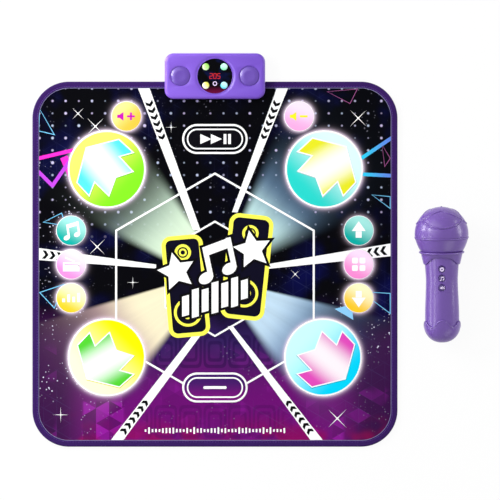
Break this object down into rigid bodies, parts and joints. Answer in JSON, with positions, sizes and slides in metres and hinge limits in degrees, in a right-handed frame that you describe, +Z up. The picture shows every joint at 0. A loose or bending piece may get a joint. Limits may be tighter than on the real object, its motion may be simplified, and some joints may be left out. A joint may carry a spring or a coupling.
{
  "type": "electronic dance mat",
  "caption": "Foldable foam dance mat with pressed floor keys, a clamped host box with lit window, buttons and speaker, and a toy microphone lying beside it.",
  "frame": {"origin": "centre of the mat's underside", "axes": "+Z up, +Y towards the host box on the rear edge, +X towards the microphone"},
  "size_m": [0.9558, 0.862, 0.1198],
  "materials": {
    "backing": "fine ribbed non-slip backing",
    "film": "clear amber film with printed circuits",
    "foam": "soft closed-cell foam",
    "cover": "satin printed cover sheet",
    "binding": "woven purple edge tape",
    "clamp_steel": "bright zinc",
    "host_plastic": "satin purple moulding",
    "host_base_plastic": "satin purple moulding",
    "foot_rubber": "soft black rubber",
    "window_lens": "dark glossy window",
    "lamp_lens": "clear tinted lamp domes",
    "electronics": "black moulding",
    "circuit_board": "green solder resist",
    "battery_cell": "sleeved steel can",
    "speaker_paper": "pressed paper cone",
    "pad_yellow": "printed yellow to green pad",
    "pad_teal": "printed pale cyan to teal pad",
    "pad_lime": "printed yellow to cream pad",
    "pad_sky": "printed pale cyan to sky blue pad",
    "key_orange": "printed orange key",
    "key_pink": "printed pink key",
    "key_teal": "printed teal key",
    "key_navy": "printed dark key with white outlines",
    "mic_plastic": "satin purple moulding",
    "mic_metal": "bright"
  },
  "bodies": {
    "mat_rear": {"mat_backing_rear": "backing", "mat_film_rear": "film", "mat_foam_rear": "foam", "mat_cover_rear": "cover", "mat_binding_rear": "binding", "mat_clamp_plate": "clamp_steel", "clamp_screw_left": "clamp_steel", "clamp_screw_right": "clamp_steel", "host_top_shell": "host_plastic", "host_bottom_tub": "host_base_plastic", "shell_screw_left": "clamp_steel", "shell_screw_right": "clamp_steel", "rubber_foot": "foot_rubber", "display_lens": "window_lens", "display_module": "electronics", "lamp_lenses": "lamp_lens", "control_board": "circuit_board", "battery_front": "battery_cell", "battery_middle": "battery_cell", "battery_rear": "battery_cell", "battery_contact_left": "clamp_steel", "battery_contact_right": "clamp_steel", "speaker_basket": "clamp_steel", "speaker_cone": "speaker_paper"},
    "mat_front": {"mat_backing_front": "backing", "mat_film_front": "film", "mat_foam_front": "foam", "mat_cover_front": "cover", "mat_binding_front": "binding"},
    "pad_rear_left": {"pad_rear_left": "pad_yellow"},
    "pad_rear_right": {"pad_rear_right": "pad_teal"},
    "key_volume_up": {"key_volume_up": "key_orange"},
    "key_volume_down": {"key_volume_down": "key_pink"},
    "key_start": {"key_start": "key_navy"},
    "key_left_rear": {"key_left_rear": "key_teal"},
    "key_left_middle": {"key_left_middle": "key_pink"},
    "key_right_rear": {"key_right_rear": "key_teal"},
    "key_right_middle": {"key_right_middle": "key_pink"},
    "pad_front_left": {"pad_front_left": "pad_lime"},
    "pad_front_right": {"pad_front_right": "pad_sky"},
    "key_pause": {"key_pause": "key_navy"},
    "key_left_front": {"key_left_front": "key_orange"},
    "key_right_front": {"key_right_front": "key_orange"},
    "power_button": {"power_button": "window_lens"},
    "left_button": {"left_button": "host_plastic"},
    "right_button": {"right_button": "host_plastic"},
    "battery_door": {"battery_door": "host_base_plastic", "battery_door_screw": "clamp_steel"},
    "microphone": {"mic_head": "mic_plastic", "mic_head_cup": "mic_plastic", "mic_collar": "mic_plastic", "mic_handle_front": "mic_plastic", "mic_handle_back": "mic_plastic", "mic_board": "circuit_board", "mic_capsule": "mic_metal", "mic_battery": "battery_cell"},
    "mic_base_cap": {"mic_base_cap": "mic_plastic"},
    "mic_button_upper": {"mic_button_upper": "mic_plastic"},
    "mic_button_middle": {"mic_button_middle": "mic_plastic"},
    "mic_button_lower": {"mic_button_lower": "mic_plastic"}
  },
  "joints": [
    {"name": "mat_fold", "type": "hinge", "parent": "mat_rear", "child": "mat_front", "pos_m": [0, -0.03715, 0.0102], "axis": [-1, 0, 0], "range_deg": [0, 180]},
    {"name": "pad_rear_left_press", "type": "slide", "parent": "mat_rear", "child": "pad_rear_left", "axis": [0, 0, -1], "range_m": [0, 0.0015], "stiffness_N_per_m": 2000, "springref_m": -0.002},
    {"name": "pad_rear_right_press", "type": "slide", "parent": "mat_rear", "child": "pad_rear_right", "axis": [0, 0, -1], "range_m": [0, 0.0015], "stiffness_N_per_m": 2000, "springref_m": -0.002},
    {"name": "key_volume_up_press", "type": "slide", "parent": "mat_rear", "child": "key_volume_up", "axis": [0, 0, -1], "range_m": [0, 0.0015], "stiffness_N_per_m": 2000, "springref_m": -0.002},
    {"name": "key_volume_down_press", "type": "slide", "parent": "mat_rear", "child": "key_volume_down", "axis": [0, 0, -1], "range_m": [0, 0.0015], "stiffness_N_per_m": 2000, "springref_m": -0.002},
    {"name": "key_start_press", "type": "slide", "parent": "mat_rear", "child": "key_start", "axis": [0, 0, -1], "range_m": [0, 0.0015], "stiffness_N_per_m": 2000, "springref_m": -0.002},
    {"name": "key_left_rear_press", "type": "slide", "parent": "mat_rear", "child": "key_left_rear", "axis": [0, 0, -1], "range_m": [0, 0.0015], "stiffness_N_per_m": 2000, "springref_m": -0.002},
    {"name": "key_left_middle_press", "type": "slide", "parent": "mat_rear", "child": "key_left_middle", "axis": [0, 0, -1], "range_m": [0, 0.0015], "stiffness_N_per_m": 2000, "springref_m": -0.002},
    {"name": "key_right_rear_press", "type": "slide", "parent": "mat_rear", "child": "key_right_rear", "axis": [0, 0, -1], "range_m": [0, 0.0015], "stiffness_N_per_m": 2000, "springref_m": -0.002},
    {"name": "key_right_middle_press", "type": "slide", "parent": "mat_rear", "child": "key_right_middle", "axis": [0, 0, -1], "range_m": [0, 0.0015], "stiffness_N_per_m": 2000, "springref_m": -0.002},
    {"name": "pad_front_left_press", "type": "slide", "parent": "mat_front", "child": "pad_front_left", "axis": [0, 0, -1], "range_m": [0, 0.0015], "stiffness_N_per_m": 2000, "springref_m": -0.002},
    {"name": "pad_front_right_press", "type": "slide", "parent": "mat_front", "child": "pad_front_right", "axis": [0, 0, -1], "range_m": [0, 0.0015], "stiffness_N_per_m": 2000, "springref_m": -0.002},
    {"name": "key_pause_press", "type": "slide", "parent": "mat_front", "child": "key_pause", "axis": [0, 0, -1], "range_m": [0, 0.0015], "stiffness_N_per_m": 2000, "springref_m": -0.002},
    {"name": "key_left_front_press", "type": "slide", "parent": "mat_front", "child": "key_left_front", "axis": [0, 0, -1], "range_m": [0, 0.0015], "stiffness_N_per_m": 2000, "springref_m": -0.002},
    {"name": "key_right_front_press", "type": "slide", "parent": "mat_front", "child": "key_right_front", "axis": [0, 0, -1], "range_m": [0, 0.0015], "stiffness_N_per_m": 2000, "springref_m": -0.002},
    {"name": "power_button_press", "type": "slide", "parent": "mat_rear", "child": "power_button", "axis": [0, 0, -1], "range_m": [0, 0.001], "stiffness_N_per_m": 400, "springref_m": -0.001},
    {"name": "left_button_press", "type": "slide", "parent": "mat_rear", "child": "left_button", "axis": [0, 0, -1], "range_m": [0, 0.002], "stiffness_N_per_m": 400, "springref_m": -0.001},
    {"name": "right_button_press", "type": "slide", "parent": "mat_rear", "child": "right_button", "axis": [0, 0, -1], "range_m": [0, 0.002], "stiffness_N_per_m": 400, "springref_m": -0.001},
    {"name": "battery_door_release", "type": "slide", "parent": "mat_rear", "child": "battery_door", "axis": [0, 0, -1], "range_m": [0, 0.03]},
    {"name": "microphone_lift", "type": "slide", "parent": "mat_rear", "child": "microphone", "axis": [0, 0, 1], "range_m": [0, 0.3]},
    {"name": "mic_base_cap_release", "type": "slide", "parent": "microphone", "child": "mic_base_cap", "axis": [0.0083, -0.9947, -0.1025], "range_m": [0, 0.06]},
    {"name": "mic_button_upper_press", "type": "slide", "parent": "microphone", "child": "mic_button_upper", "axis": [-0.0009, 0.1025, -0.9947], "range_m": [0, 0.001], "stiffness_N_per_m": 300, "springref_m": -0.001},
    {"name": "mic_button_middle_press", "type": "slide", "parent": "microphone", "child": "mic_button_middle", "axis": [-0.0009, 0.1025, -0.9947], "range_m": [0, 0.001], "stiffness_N_per_m": 300, "springref_m": -0.001},
    {"name": "mic_button_lower_press", "type": "slide", "parent": "microphone", "child": "mic_button_lower", "axis": [-0.0009, 0.1025, -0.9947], "range_m": [0, 0.001], "stiffness_N_per_m": 300, "springref_m": -0.001}
  ]
}
